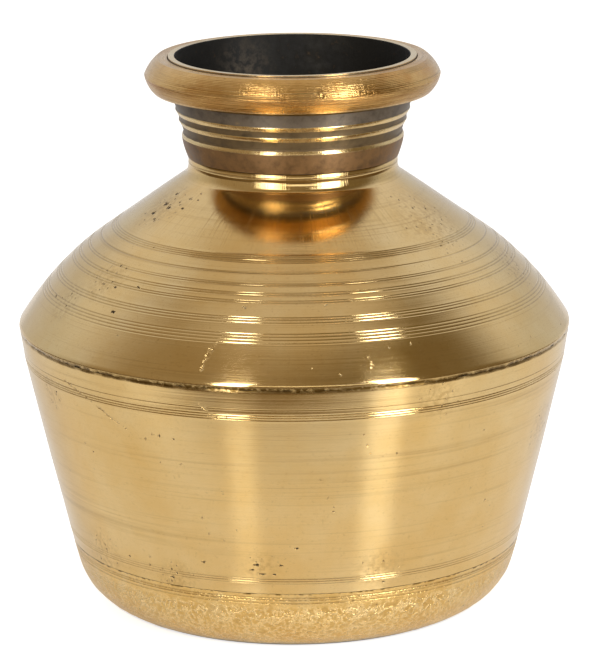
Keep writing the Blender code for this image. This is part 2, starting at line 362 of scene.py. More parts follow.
class Groove:
    """A line cut round the wall: place along the path, half width and depth, which wanders round the pot."""

    def __init__(self, place, half_width, depth):
        self.place = place
        self.half_width = half_width
        self.depth = depth

    def cut(self, marks, angles):
        """Depth of the cut, with a small burr thrown up at either side."""
        offset = np.abs(marks - self.place) / self.half_width
        bowl = np.clip(1 - offset ** 2, 0, None)
        burr = np.clip(1 - np.abs(offset - BURR_PLACE) / BURR_REACH, 0, None)
        phase = self.place / MM
        share = 1 + GROOVE_WANDER * np.sin(angles + phase) * np.cos(3 * angles - 2 * phase)
        return np.outer(self.depth * (bowl - BURR_SHARE * burr), share)


def grooves_at(place_of, groups):
    """Grooves for groups of turned lines, with a function that finds a line's place on the path."""
    grooves = []
    for first, count, step, half_width, depth in groups:
        for number in range(count):
            place = place_of((first + number * step) * MM)
            grooves.append(Groove(place, half_width * MM, depth * MM))
    return grooves


def cut_share(grooves, marks, angles):
    """How deep each point lies in a groove, from 0 outside to 1 on its floor."""
    shares = [np.clip(groove.cut(marks, angles) / groove.depth, 0, 1) for groove in grooves]
    return np.max(shares, axis=0)


def line(first, last, steps=DENSE):
    """Points on a straight stretch."""
    share = np.linspace(0, 1, steps + 1)[:, None]
    return np.array(first) * (1 - share) + np.array(last) * share


def arc(centre, radius, first_tilt, last_tilt, steps=DENSE):
    """Points on a rounded stretch. A negative radius makes it hollow to the outside."""
    tilt = np.linspace(first_tilt, last_tilt, steps + 1)
    return np.column_stack([centre[0] + radius * np.cos(tilt), centre[1] + radius * np.sin(tilt)])


def on_arc(centre, radius, tilt):
    """The point of a rounded stretch where its normal has this tilt."""
    return arc(centre, radius, tilt, tilt, 1)[0]


def bowed(first, last, bow, steps=DENSE):
    """Points on a straight stretch that stands out a little at its middle."""
    points = line(first, last, steps)
    run = points[-1] - points[0]
    outwards = np.array([-run[1], run[0]]) / np.hypot(*run)
    share = np.linspace(0, 1, steps + 1)
    return points + np.outer(4 * bow * share * (1 - share), outwards)


def stretch_of(path, first, last, steps=DENSE):
    """Points of a path between two distances along it."""
    radius, height, _ = path.at(np.linspace(first, last, steps + 1))
    return np.column_stack([radius, height])


# Places where the stretches of the body meet
BREAK_CENTRE = (LARGEST_RADIUS - BREAK_ROUNDING, BREAK_HEIGHT)
CROWN_CENTRE = on_arc(BREAK_CENTRE, BREAK_ROUNDING - CROWN_RADIUS, CROWN_FOOT_TILT)
CROWN_TOP = on_arc(CROWN_CENTRE, CROWN_RADIUS, SHOULDER_TILT)
FILLET_CENTRE = (COLLAR_RADIUS + COLLAR_FILLET, COLLAR_TOP - COLLAR_BAND)
HEEL_REACH = (HEEL_RADIUS - BREAK_CENTRE[0], HEEL_HEIGHT - BREAK_CENTRE[1])
BELLY_TILT = math.atan2(HEEL_REACH[1], HEEL_REACH[0]) + math.acos(BREAK_ROUNDING / math.hypot(*HEEL_REACH))
BELLY_TOP = on_arc(BREAK_CENTRE, BREAK_ROUNDING, BELLY_TILT)
BELLY = Path(bowed(BELLY_TOP, (HEEL_RADIUS, HEEL_HEIGHT), BELLY_BOW, 240))
PAN_SEAM = BELLY.at_height(PAN_SEAM_HEIGHT)


def heel_points():
    """Points round the heel, from the end of the belly to the edge of the flat underside."""
    radius, height, tilt = (float(value) for value in BELLY.at(BELLY.length))
    facing = (radius - FOOT_RADIUS) * math.cos(tilt) + height * math.sin(tilt)
    rounding = ((radius - FOOT_RADIUS) ** 2 + height ** 2) / (2 * facing)
    centre = on_arc((radius, height), -rounding, tilt)
    end_tilt = math.atan2(-centre[1], FOOT_RADIUS - centre[0])
    return arc(centre, rounding, tilt, end_tilt)


def neck_cone(height):
    """Radius of the neck's cone between the rim ring's seat and the waist."""
    share = (height - WAIST) / (RING_UNDERSIDE - WAIST)
    return NECK_WAIST_RADIUS + (NECK_SEAT_RADIUS - NECK_WAIST_RADIUS) * share


def ridge_points(foot):
    """A ridge on the neck's cone, from its upper side to its lower one."""
    top = foot + RIDGE_WIDTH
    upper = [(neck_cone(top) + out * RIDGE_PROUD, top - down * RIDGE_PROUD) for out, down in RIDGE_SHAPE]
    lower = [(neck_cone(foot) + out * RIDGE_PROUD, foot + down * RIDGE_PROUD) for out, down in RIDGE_SHAPE]
    above = (neck_cone(top + RIDGE_SOFT), top + RIDGE_SOFT)
    below = (neck_cone(foot - RIDGE_SOFT), foot - RIDGE_SOFT)
    return np.array([above, *upper, *lower[::-1], below])


def turn_angles(steps):
    return np.arange(steps) * TURN / steps


def angles_from(angle, angles):
    """Angles as they lie to either side of one of them."""
    return (angles - angle + math.pi) % TURN - math.pi


def waves(seed, marks, angles, height, length, count=7):
    """Slow hand-made unevenness over a wall: a sum of waves that close round the pot."""
    draw = np.random.default_rng(seed)
    field = np.zeros((len(marks), len(angles)))
    for _ in range(count):
        round_waves = draw.integers(2, 9)
        along_waves = draw.uniform(0.3, 1.6) * TURN / length
        first_phase, second_phase = draw.uniform(0, TURN, 2)
        along = np.cos(along_waves * marks + first_phase)
        field += np.outer(along, np.cos(round_waves * angles + second_phase))
    return field * height / math.sqrt(count)


def ragged(seed, angles, height, count=40):
    """A ragged edge: uneven steps round the pot."""
    draw = np.random.default_rng(seed)
    edge = np.zeros(len(angles))
    for _ in range(count):
        edge += np.cos(draw.integers(3, 120) * angles + draw.uniform(0, TURN))
    return height * edge / math.sqrt(count)


def dimples(seed, marks, angles, radius, count, size, depth):
    """Peening: round dents of this size scattered over a band of about this radius."""
    draw = np.random.default_rng(seed)
    field = np.zeros((len(marks), len(angles)))
    for _ in range(count):
        place = draw.uniform(marks[0], marks[-1])
        angle = draw.uniform(0, TURN)
        reach = size * draw.uniform(0.6, 1.3)
        rows = np.nonzero(np.abs(marks - place) < reach)[0]
        if len(rows) == 0:
            continue
        across = angles_from(angle, angles) * radius
        columns = np.nonzero(np.abs(across) < reach)[0]
        off = (marks[rows, None] - place) ** 2 + across[None, columns] ** 2
        dent = depth * draw.uniform(0.4, 1.0) * np.clip(1 - off / reach ** 2, 0, None)
        block = np.ix_(rows, columns)
        field[block] = np.maximum(field[block], dent)
    return field


def softened(marks, places, values):
    """Goes from value to value in straight stretches, with the kinks between them rounded off."""
    return np.mean([np.interp(marks + shift, places, values) for shift in KINK_SHIFTS], axis=0)


def seam_edge(seed, distance, angles):
    """How far the rolled edge at the break goes in, by the distance from the seam and round the pot."""
    share = np.clip(0.85 + ragged(seed, angles, 0.3, 170), 0.4, 1.2)
    return np.outer(np.clip(1 - distance / SEAM_ROLL, 0, None), share)


def seam_dirt(edge, angles):
    """How dark the rolled edge is: less at the left and right."""
    return np.clip(1.9 * edge, 0, 1) * (1 - 0.65 * np.cos(angles) ** 6)


def dressed(path, marks, depth):
    """Rows of points of a path, pressed in by a depth for each row and angle."""
    radius, height, tilt = (value[:, None] for value in path.at(marks))
    return np.stack([radius - depth * np.cos(tilt), height - depth * np.sin(tilt)], axis=2)


def plain(points, angles):
    """Rows of points that are the same all round."""
    return np.repeat(np.array(points)[:, None, :], len(angles), axis=1)


def lathe(name, blocks, angles, materials, capped=False, cut=None):
    """A mesh from rows of (radius, height) round the axis. A capped one ends on it, any other closes up.

    Each block is the number of its material, and its rows. A cut is the number of a block, and how dark its
    lines and seams are made at each of its points, from 0 to 1, painted shade on the shoulder's lines
    included.
    """
    kinds = np.concatenate([np.full(len(rows), kind) for kind, rows in blocks])
    starts = np.cumsum([0] + [len(rows) for _, rows in blocks])
    rows = np.concatenate([rows for _, rows in blocks])
    count, steps = rows.shape[:2]
    radius, height = rows[:, :, 0], rows[:, :, 1]
    points = np.stack([radius * np.cos(angles), radius * np.sin(angles), height], axis=2).reshape(-1, 3)
    here = np.arange(steps)
    there = (here + 1) % steps
    bands = np.arange(count - 1 if capped else count)
    upper = bands[:, None] * steps
    lower = (bands[:, None] + 1) % count * steps
    quads = np.stack([upper + here, lower + here, lower + there, upper + there], axis=2)
    faces = quads.reshape(-1, 4).tolist()
    face_kinds = np.repeat(kinds[bands], steps).tolist()
    if capped:
        first_pole = len(points)
        last_row = (count - 1) * steps
        points = np.vstack([points, [[0, 0, height[0, 0]], [0, 0, height[-1, 0]]]])
        for this, following in zip(here.tolist(), there.tolist()):
            faces.append([first_pole, this, following])
            faces.append([first_pole + 1, last_row + following, last_row + this])
            face_kinds.extend([int(kinds[0]), int(kinds[-1])])
    mesh = bpy.data.meshes.new(name)
    mesh.from_pydata(points.tolist(), [], faces)
    shares = np.zeros(len(points))
    if cut is not None:
        block, depth = cut
        first = starts[block] * steps
        shares[first:first + depth.size] = depth.ravel()
    mesh.attributes.new(CUT_NAME, "FLOAT", "POINT").data.foreach_set("value", shares)
    for material in materials:
        mesh.materials.append(material)
    mesh.polygons.foreach_set("material_index", face_kinds)
    mesh.shade_smooth()
    mesh.set_sharp_from_angle(angle=SHARP_ANGLE)
    mesh.update()
    piece = bpy.data.objects.new(name, mesh)
    bpy.context.scene.collection.objects.link(piece)
    return piece


def stands_for(piece, node):
    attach(piece, "root")
    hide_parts(node)


class Nodes:
    """A node tree that is being put together."""

    def __init__(self, tree):
        self.tree = tree

    def node(self, kind, **settings):
        made = self.tree.nodes.new(kind)
        for key, value in settings.items():
            setattr(made, key, value)
        return made

    def put(self, socket, value):
        """Links a socket to another one, or sets it to a constant."""
        if isinstance(value, bpy.types.NodeSocket):
            self.tree.links.new(value, socket)
        elif socket.type == "RGBA":
            socket.default_value = (*value, 1.0)
        else:
            socket.default_value = value

    def fed(self, kind, *values, **settings):
        """A new node with its first inputs filled."""
        made = self.node(kind, **settings)
        for socket, value in zip(made.inputs, values):
            self.put(socket, value)
        return made

    def math(self, operation, *values):
        return self.fed("ShaderNodeMath", *values, operation=operation).outputs[0]

    def times(self, first, *others):
        for other in others:
            first = self.math("MULTIPLY", first, other)
        return first

    def plus(self, first, second):
        return self.math("ADD", first, second)

    def largest(self, first, *others):
        for other in others:
            first = self.math("MAXIMUM", first, other)
        return first

    def split(self, vector):
        return self.fed("ShaderNodeSeparateXYZ", vector).outputs

    def joined(self, *values):
        return self.fed("ShaderNodeCombineXYZ", *values).outputs[0]

    def vector(self, operation, *values):
        made = self.fed("ShaderNodeVectorMath", *values, operation=operation)
        return made.outputs["Value" if operation in ("DISTANCE", "DOT_PRODUCT") else "Vector"]

    def between(self, value, low, high, to_low=0.0, to_high=1.0, form="LINEAR"):
        """Carries a range over to another one, and stays at its ends outside it."""
        made = self.node("ShaderNodeMapRange", clamp=True, interpolation_type=form)
        self.put(made.inputs["Value"], value)
        made.inputs["From Min"].default_value = low
        made.inputs["From Max"].default_value = high
        made.inputs["To Min"].default_value = to_low
        made.inputs["To Max"].default_value = to_high
        return made.outputs[0]

    def mix(self, share, first, second):
        made = self.node("ShaderNodeMix", data_type="RGBA")
        self.put(made.inputs[0], share)
        self.put(made.inputs[6], first)
        self.put(made.inputs[7], second)
        return made.outputs[2]


class Shader(Nodes):
    """A node material round one Principled shader, with its colour, roughness and bumps laid on in turn."""

    def __init__(self, name):
        self.material = bpy.data.materials.new(name)
        self.material.use_nodes = True
        super().__init__(self.material.node_tree)
        self.out = self.tree.nodes["Principled BSDF"]
        self.place = self.node("ShaderNodeTexCoord").outputs["Object"]
        self.x, self.y, self.height = self.split(self.place)
        self.angle = self.math("ARCTAN2", self.x, self.times(self.y, -1.0))
        self.radius = self.math("SQRT", self.plus(self.times(self.x, self.x), self.times(self.y, self.y)))
        self.colour = None
        self.rough = None
        self.normal = None

    def cut(self):
        """How dark the lines and the rolled seam are made here, painted shade on the shoulder's lines
        included.
        """
        return self.node("ShaderNodeAttribute", attribute_name=CUT_NAME).outputs["Fac"]

    def noise(self, scale, detail, roughness=0.5, vector=None, output="Fac"):
        made = self.node("ShaderNodeTexNoise")
        self.put(made.inputs["Vector"], vector or self.place)
        made.inputs["Scale"].default_value = scale
        made.inputs["Detail"].default_value = detail
        made.inputs["Roughness"].default_value = roughness
        return made.outputs[output]

    def cells(self, vector, scale):
        """Distance to the nearest of scattered points, and a random number for each of them."""
        made = self.node("ShaderNodeTexVoronoi")
        self.put(made.inputs["Vector"], vector)
        made.inputs["Scale"].default_value = scale
        return made.outputs["Distance"], self.split(made.outputs["Color"])[0]

    def turned(self, across, along_radius, along_height):
        """Coordinates for lines that run round the pot: slow round it, fast along the wall."""
        along = self.plus(self.times(self.radius, along_radius), self.times(self.height, along_height))
        return self.joined(self.times(self.x, across), self.times(self.y, across), along)

    def band(self, value, low, high, edge):
        """One between low and high, falling to nothing over an edge outside them."""
        rise = self.between(value, low - edge, low)
        return self.times(rise, self.between(value, high, high + edge, 1.0, 0.0))

    def near(self, place, reach):
        """One at a place, falling to nothing at this reach from it."""
        return self.between(self.vector("DISTANCE", self.place, place), 0.0, reach, 1.0, 0.0)

    def ramp(self, value, *stops):
        """Starts the colour as a run through these stops."""
        made = self.node("ShaderNodeValToRGB")
        ramp = made.color_ramp
        while len(ramp.elements) < len(stops):
            ramp.elements.new(1.0)
        for element, (place, colour) in zip(ramp.elements, stops):
            element.position = place
            element.color = (*colour, 1.0)
        self.put(made.inputs[0], value)
        self.colour = made.outputs[0]

    def tint(self, share, colour, *spread):
        """Mixes a colour in by a share, or by a value that is first carried over from a spread."""
        if spread:
            share = self.between(share, *spread)
        self.colour = self.mix(share, self.colour, colour)

    def roughen(self, amount):
        self.rough = self.plus(self.rough, amount)

    def bump(self, value, strength, distance):
        made = self.node("ShaderNodeBump")
        made.inputs["Strength"].default_value = strength
        made.inputs["Distance"].default_value = distance
        self.put(made.inputs["Height"], value)
        if self.normal is not None:
            self.put(made.inputs["Normal"], self.normal)
        self.normal = made.outputs[0]

    def set(self, **values):
        """Sets or links sockets of the shader, by name with _ for a blank."""
        for key, value in values.items():
            self.put(self.out.inputs[key.replace("_", " ")], value)

    def brushed(self, amount):
        """Spreads reflections across lines that run round the pot."""
        tangent = self.node("ShaderNodeTangent", direction_type="RADIAL", axis="Z")
        self.set(Tangent=tangent.outputs[0], Anisotropic=amount, Anisotropic_Rotation=0.25)

    def finished(self, **values):
        self.set(Base_Color=self.colour, Roughness=self.rough, Normal=self.normal, **values)
        return self.material


def on_wall(angle, radius, height):
    """A place on the pot by its angle from the front, in degrees to the right."""
    turned = math.radians(angle)
    return Vector((radius * math.sin(turned), -radius * math.cos(turned), height))


def on_shoulder(angle, radius):
    """The place on the shoulder at this angle in degrees and this radius in millimetres."""
    radius *= MM
    if radius < CROWN_TOP[0]:
        height = CROWN_TOP[1] + (CROWN_TOP[0] - radius) / math.tan(SHOULDER_TILT)
    else:
        height = CROWN_CENTRE[1] + math.sqrt(CROWN_RADIUS ** 2 - (radius - CROWN_CENTRE[0]) ** 2)
    return on_wall(angle, radius, height)


def on_belly(angle, height):
    """The place on the belly at this angle in degrees and this height in millimetres."""
    radius = float(BELLY.at(BELLY.at_height(height * MM))[0])
    return on_wall(angle, radius, height * MM)


def unrolled(place):
    """A place as it lies along the turning, with its radius and height."""
    return (math.atan2(place.x, -place.y) * UNROLL, math.hypot(place.x, place.y), place.z)


def patches_at(*patches):
    """Patches of pits from angle, radius, height and reach, in degrees and millimetres."""
    found = []
    for angle, radius, height, reach in patches:
        found.append((on_wall(angle, radius * MM, height * MM), reach * MM))
    return found


def strokes_at(*strokes):
    """Scratches from the angle, radius and height of both ends, and a width, in degrees and millimetres."""
    found = []
    for first, last, width in strokes:
        ends = [on_wall(angle, radius * MM, height * MM) for angle, radius, height in (first, last)]
        found.append((*ends, width * MM))
    return found


def broken_stroke(points, widths):
    """A scratch down the belly in straight lengths, from angles and heights."""
    ends = [on_belly(angle, height) for angle, height in points]
    return list(zip(ends, ends[1:], (width * MM for width in widths)))


def chips_on(wall, *chips):
    """Gouges on a wall from their angles, their radii or heights, and their sizes in millimetres."""
    return [(unrolled(wall(angle, mark)), size * MM) for angle, mark, size in chips]


SHOULDER_PITS = patches_at(
    (-66, 66, 190, 17),
    (58, 72, 186, 24),
    (-56, 101, 164, 15),
    (-65, 114, 152, 13),
    (76, 104, 162, 18),
)
BELLY_PITS = patches_at(
    (-62, 121, 111, 10),
    (-8.5, 106, 43, 10),
    (20, 105, 41, 12),
    (-55, 105, 36, 16),
    (-30, 105, 33, 12),
    (30, 123, 121, 14),
    (70, 117, 88, 16),
)
SHOULDER_STROKES = strokes_at(
    ((24, 70, 188), (25, 77.5, 182), 0.7),
    ((26, 73, 186), (27, 78, 182), 0.5),
    ((-17.2, 116, 147), (-18.4, 119.5, 141.5), 1.8),
    ((-18.4, 119.5, 141.5), (-19.2, 123, 135.5), 0.9),
    ((15.2, 117.5, 144.5), (15.8, 122.5, 136.5), 0.9),
    ((-47, 84, 177), (-41, 79, 181), 0.8),
)
BELLY_STROKES = broken_stroke(
    ((-54.8, 120), (-50, 116.5), (-45.6, 113), (-41.2, 108), (-36.4, 103)),
    (0.6, 0.6, 0.6, 0.5),
) + strokes_at(
    ((-20, 124, 122), (-16, 122.8, 115), 0.7),
    ((-17.5, 124, 122), (-14, 122.8, 115), 0.5),
    ((14, 121, 107), (16, 118.5, 97), 0.6),
    ((-9, 121, 108), (-7, 119, 99), 0.5),
)
SHOULDER_CHIPS = chips_on(
    on_shoulder,
    (-67.0, 56.8, 1.2),
    (-54.0, 57.0, 1.2),
    (-49.0, 57.0, 0.9),
    (-66.0, 62.5, 1.6),
    (-61.5, 63.4, 1.6),
    (-53.0, 62.0, 0.9),
    (-67.5, 68.0, 1.4),
    (-62.5, 70.0, 1.2),
    (-55.5, 92.5, 0.7),
    (-56.0, 101.5, 0.8),
    (-51.0, 101.2, 0.7),
    (-43.5, 99.0, 0.7),
    (-72.5, 112.0, 0.8),
    (-46.5, 109.5, 0.9),
    (-12.0, 102.0, 0.7),
    (51.5, 56.0, 0.8),
    (54.0, 58.5, 0.7),
    (57.0, 63.5, 0.7),
)
BELLY_CHIPS = chips_on(
    on_belly,
    (-9.2, 44.5, 0.9),
    (-8.0, 40.0, 0.7),
    (-5.2, 40.0, 0.6),
    (-3.6, 44.5, 0.7),
    (-10.4, 42.0, 0.6),
    (-22.4, 44.0, 0.7),
    (0.0, 53.0, 0.6),
    (-44.8, 39.5, 0.7),
    (-31.5, 34.0, 0.8),
)
WORN_INSIDE = (on_wall(-155, 52 * MM, 238 * MM), 17 * MM)


def pits_over(shader, patches, scale, threshold):
    """Casting pits: dark uneven specks in a share of scattered cells, only inside the patches."""
    warp = shader.noise(2.2 * scale, 2.0, output="Color")
    moved = shader.vector("MULTIPLY_ADD", warp, [0.9 / scale] * 3, shader.place)
    distance, chance = shader.cells(moved, scale)
    speck = shader.between(distance, 0.09, 0.24, 1.0, 0.0)
    chosen = shader.between(chance, threshold, threshold + 0.02)
    return shader.times(speck, chosen, patches)


def scratches_over(shader, strokes):
    """Scratches between pairs of places, each of its own width, with broken edges."""
    wander = shader.between(shader.noise(500.0, 3.0), 0.3, 0.7, -0.5 * MM, 0.5 * MM)
    found = []
    for first, last, width in strokes:
        run = last - first
        offset = shader.vector("SUBTRACT", shader.place, first)
        along = shader.vector("DOT_PRODUCT", offset, run / run.length_squared)
        foot = shader.vector("MULTIPLY", run, shader.between(along, 0.0, 1.0))
        away = shader.plus(shader.vector("DISTANCE", offset, foot), wander)
        found.append(shader.between(away, 0.25 * width, width, 1.0, 0.0))
    return shader.largest(*found)


def gouges_over(shader, chips):
    """Ragged gouges at unrolled places."""
    wander = shader.between(shader.noise(900.0, 3.0, 0.7), 0.25, 0.75, -0.45, 0.45)
    rolled = shader.joined(shader.times(shader.angle, UNROLL), shader.radius, shader.height)
    found = []
    for place, size in chips:
        away = shader.vector("DISTANCE", rolled, place)
        found.append(shader.between(away, 0.0, 2.0 * size, 1.0, 0.0))
    return shader.between(shader.plus(shader.largest(*found), wander), 0.62, 0.80)


def polished_brass(name, slope, roughness, spread, marks, wiped_to=0.0):
    """Polished sheet brass with fine turned lines, streaks, pits, scratches and a thin uneven tarnish.

    The slope is how radius and height change down the wall. Within the radius wiped_to the wall is wiped
    along its slope and not round the pot.
    """
    patches, strokes, chips = marks
    out, up = slope
    shader = Shader(name)
    fine = shader.noise(1.0, 4.0, 0.7, shader.turned(8.0, 1000 * out, 1000 * up))
    broad = shader.noise(1.0, 3.0, 0.6, shader.turned(5.0, 260 * out, 260 * up))
    cloud = shader.noise(26.0, 5.0, 0.62)
    speckle = shader.noise(900.0, 2.0)
    ground = shader.noise(42.0, 3.0)
    mottle = shader.noise(480.0, 3.0, 0.6)
    shader.ramp(cloud, (0.30, WARM_BRASS), (0.5, BRASS), (0.72, PALE_BRASS))
    shader.tint(broad, LINE_BRASS, 0.58, 0.80, 0.0, 0.40)
    shader.tint(fine, LINE_BRASS, 0.58, 0.78, 0.0, 0.40)
    shader.tint(speckle, LINE_BRASS, 0.60, 0.75, 0.0, 0.25)
    # The lines and the rolled seam are darkened from the mesh, with painted shade on the shoulder's lines at
    # the sides.
    dirt_and_shade = shader.times(shader.cut(), shader.between(mottle, 0.36, 0.52, 0.50, 1.0))
    shader.tint(dirt_and_shade, SEAM_DARK)
    mask = shader.largest(*[shader.near(place, reach) for place, reach in patches])
    few = pits_over(shader, shader.between(ground, 0.56, 0.66), 330.0, 0.91)
    many = pits_over(shader, shader.between(mask, 0.10, 0.4), 430.0, 0.60)
    pits = shader.largest(few, many)
    smear = shader.between(mottle, 0.42, 0.62, 0.0, 0.4)
    shader.tint(shader.times(shader.between(mask, 0.0, 0.7), smear), LINE_BRASS)
    shader.tint(pits, PIT_AND_SHADE)
    gouged = gouges_over(shader, chips)
    shader.tint(gouged, PIT_AND_SHADE)
    pits = shader.largest(pits, gouged)
    cuts = scratches_over(shader, strokes)
    shader.tint(shader.times(cuts, 0.35), LINE_BRASS)
    shader.rough = shader.between(cloud, 0.3, 0.7, roughness - 0.03, roughness + 0.03)
    shader.roughen(shader.between(fine, 0.35, 0.75, -0.02, 0.05))
    shader.roughen(shader.times(pits, 0.4))
    shader.roughen(shader.times(dirt_and_shade, 0.2))
    if wiped_to:
        wiped = shader.between(shader.radius, wiped_to - WIPE_EDGE, wiped_to, 1.0, 0.0)
        left = shader.between(wiped, 0.0, 1.0, 1.0, 0.12)
        broad = shader.times(broad, left)
        fine = shader.times(fine, left)
    shader.bump(broad, 0.08, 0.6 * MM)
    shader.bump(fine, 0.20, 0.22 * MM)
    if wiped_to:
        sweep_place = shader.joined(shader.times(shader.angle, 120.0), shader.times(shader.radius, 40.0))
        sweeps = shader.noise(1.0, 4.0, 0.65, sweep_place)
        shader.bump(shader.times(sweeps, wiped), 0.20, 0.3 * MM)
        shader.tint(shader.times(wiped, shader.between(sweeps, 0.52, 0.72, 0.0, 0.4)), LINE_BRASS)
        shader.roughen(shader.times(wiped, shader.between(sweeps, 0.53, 0.66, -0.07, 0.12)))
        spread = shader.between(wiped, 0.0, 1.0, spread, WIPED_SPREAD)
    shader.bump(cuts, 0.7, -0.4 * MM)
    shader.bump(pits, 0.5, -0.4 * MM)
    shader.brushed(spread)
    metal = shader.between(pits, 0.0, 1.0, 1.0, 0.0)
    gloss = shader.between(pits, 0.0, 1.0, 0.5, 0.05)
    return shader.finished(Metallic=metal, Specular_IOR_Level=gloss)


def peened_brass(name):
    """Hammered base: brass with crinkled pale ridges between hollows, dark dots along the seam, and painted
    contact shade along the foot.
    """
    shader = Shader(name)
    cloud = shader.noise(60.0, 5.0, 0.65)
    crinkle = shader.noise(300.0, 3.0, 0.6)
    grain = shader.noise(700.0, 3.0, 0.6)
    off = shader.math("ABSOLUTE", shader.math("SUBTRACT", crinkle, 0.5))
    below = shader.between(shader.height, LOWEST_LINE - 4 * MM, LOWEST_LINE - 1 * MM, 1.0, 0.25)
    ridge = shader.times(shader.between(off, 0.0, 0.07, 1.0, 0.0), below)
    hollow = shader.times(shader.between(off, 0.05, 0.20, 0.0, 0.34), below)
    shader.ramp(cloud, (0.28, PEEN_WARM), (0.52, PEEN_BRASS), (0.75, PALE_BRASS))
    shader.tint(hollow, LINE_BRASS)
    shader.tint(shader.times(ridge, 0.62), PEEN_PALE)
    shader.tint(grain, LINE_BRASS, 0.60, 0.82, 0.0, 0.5)
    shader.tint(shader.times(shader.cut(), 0.8), SEAM_DARK)
    few = pits_over(shader, shader.between(cloud, 0.45, 0.60), 300.0, 0.86)
    edge = shader.band(shader.height, PAN_SEAM_HEIGHT - 0.6 * MM, PAN_SEAM_HEIGHT, 0.5 * MM)
    dots = shader.between(shader.noise(300.0, 2.0), 0.50, 0.60, 0.0, 0.8)
    shader.tint(shader.largest(few, shader.times(edge, dots)), SEAM_DARK)
    # Painted contact shade: the lowest 2 mm of the foot are darkened nearly black.
    shader.tint(shader.between(shader.height, 0.7 * MM, 1.9 * MM, 0.95, 0.0), PIT_AND_SHADE)
    shader.rough = shader.between(grain, 0.3, 0.75, 0.15, 0.30)
    shader.bump(ridge, 0.5, 0.5 * MM)
    shader.bump(grain, 0.30, 0.3 * MM)
    return shader.finished(Metallic=1.0)


def ring_brass(name):
    """Cast ring: orange satin brass with turned streaks, chatter ticks, painted shade on the bevel below the
    nose, and a painted highlight along its worn lower edge.
    """
    shader = Shader(name)
    streak = shader.noise(1.0, 3.0, 0.65, shader.turned(14.0, 1100.0, 1300.0))
    tick_place = shader.joined(
        shader.times(shader.angle, 75.0),
        shader.times(shader.radius, 380.0),
        shader.times(shader.height, 380.0),
    )
    ticks = shader.noise(1.0, 3.0, 0.6, tick_place)
    cloud = shader.noise(70.0, 4.0, 0.6)
    shader.ramp(cloud, (0.30, RING_DEEP), (0.52, RING_BRASS), (0.74, RING_PALE))
    shader.tint(streak, LINE_BRASS, 0.50, 0.72, 0.0, 0.75)
    low = shader.band(shader.height, NOSE_HEIGHT - 3.2 * MM, NOSE_HEIGHT - 0.6 * MM, 0.8 * MM)
    shader.tint(shader.times(low, shader.between(streak, 0.46, 0.62), 0.7), RING_RED)
    pits = pits_over(shader, shader.between(cloud, 0.50, 0.62), 420.0, 0.88)
    shader.tint(pits, PIT_AND_SHADE)
    # Painted shade: the bevel below the nose is darkened brown.
    below = shader.between(shader.height, NOSE_HEIGHT - 2.6 * MM, NOSE_HEIGHT - 0.8 * MM, 0.35, 0.0)
    shader.tint(below, RING_UNDER_NOSE_SHADE)
    under = shader.between(shader.height, RING_UNDERSIDE + 0.1 * MM, RING_UNDERSIDE + 0.6 * MM, 1.0, 0.0)
    shader.tint(under, RING_UNDER)
    # Painted highlight: a pale rim along the worn lower edge of the ring.
    edge = shader.between(shader.radius, RING_EDGE_RADIUS - 0.4 * MM, RING_EDGE_RADIUS - 0.15 * MM)
    low_edge = shader.between(shader.height, RING_UNDERSIDE + 0.6 * MM, RING_UNDERSIDE + 1.1 * MM, 1.0, 0.0)
    shader.tint(shader.times(low_edge, edge, shader.between(ticks, 0.40, 0.6, 0.1, 0.9)), RING_WORN_HIGHLIGHT)
    shader.rough = shader.between(streak, 0.3, 0.75, 0.20, 0.31)
    shader.roughen(shader.times(under, 0.06))
    shader.bump(streak, 0.70, 0.5 * MM)
    shader.bump(ticks, 0.22, 0.5 * MM)
    shader.bump(pits, 0.6, -0.4 * MM)
    shader.brushed(0.93)
    return shader.finished(Metallic=1.0)


def neck_brass(name):
    """Dark cast neck: mottled oxide between polished ridges, a bright lip, and painted shadow just under the
    ring.
    """
    shader = Shader(name)
    mottle = shader.noise(150.0, 5.0, 0.7)
    streak = shader.noise(1.0, 3.0, 0.6, shader.turned(20.0, 0.0, 1500.0))
    wander = shader.between(shader.noise(220.0, 3.0), 0.3, 0.7, -0.1 * MM, 0.1 * MM)
    height = shader.plus(shader.height, wander)
    polished = [shader.between(shader.height, LIP_TOP - 0.6 * MM, LIP_TOP - 0.2 * MM)]
    for ridge in RIDGE_HEIGHTS:
        low = NECK_FOOT + ridge + 0.3 * MM
        polished.append(shader.band(height, low, low + RIDGE_WIDTH - 0.6 * MM, 0.15 * MM))
    polished.append(shader.band(height, BAND_TOP - 0.2 * MM, WAIST - 0.9 * MM, 0.2 * MM))
    bright = shader.largest(*polished)
    span = RING_UNDERSIDE - NECK_FOOT
    shader.ramp(
        shader.between(shader.height, NECK_FOOT, RING_UNDERSIDE),
        (0.0, OXIDE_BROWN),
        ((BAND_TOP - NECK_FOOT) / span - 0.02, OXIDE_BROWN),
        ((WAIST - NECK_FOOT) / span, OXIDE_DARK),
        (RIDGE_HEIGHTS[0] / span, OXIDE_DARK),
        ((RIDGE_HEIGHTS[0] + RIDGE_WIDTH) / span, OXIDE_GREY),
        (1.0, OXIDE_GREY),
    )
    shader.tint(mottle, SOOT_AND_SHADE, 0.30, 0.55, 0.6, 0.0)
    shader.tint(mottle, WARM_BRASS, 0.62, 0.78, 0.0, 0.35)
    # Painted shadow: the neck is darkened just under the ring.
    shaded = shader.between(shader.height, RING_UNDERSIDE - 2.8 * MM, RING_UNDERSIDE - 1.6 * MM, 0.0, 0.4)
    shader.tint(shaded, SOOT_AND_SHADE)
    gold = shader.mix(shader.between(streak, 0.5, 0.8, 0.0, 0.5), PALE_BRASS, LINE_BRASS)
    shader.tint(bright, gold)
    shader.rough = shader.between(mottle, 0.3, 0.7, 0.38, 0.62)
    shader.roughen(shader.times(bright, -0.26))
    shader.bump(mottle, 0.25, 0.5 * MM)
    shader.bump(streak, 0.15, 0.2 * MM)
    shader.brushed(0.8)
    return shader.finished(Metallic=shader.between(bright, 0.0, 1.0, 0.55, 1.0))


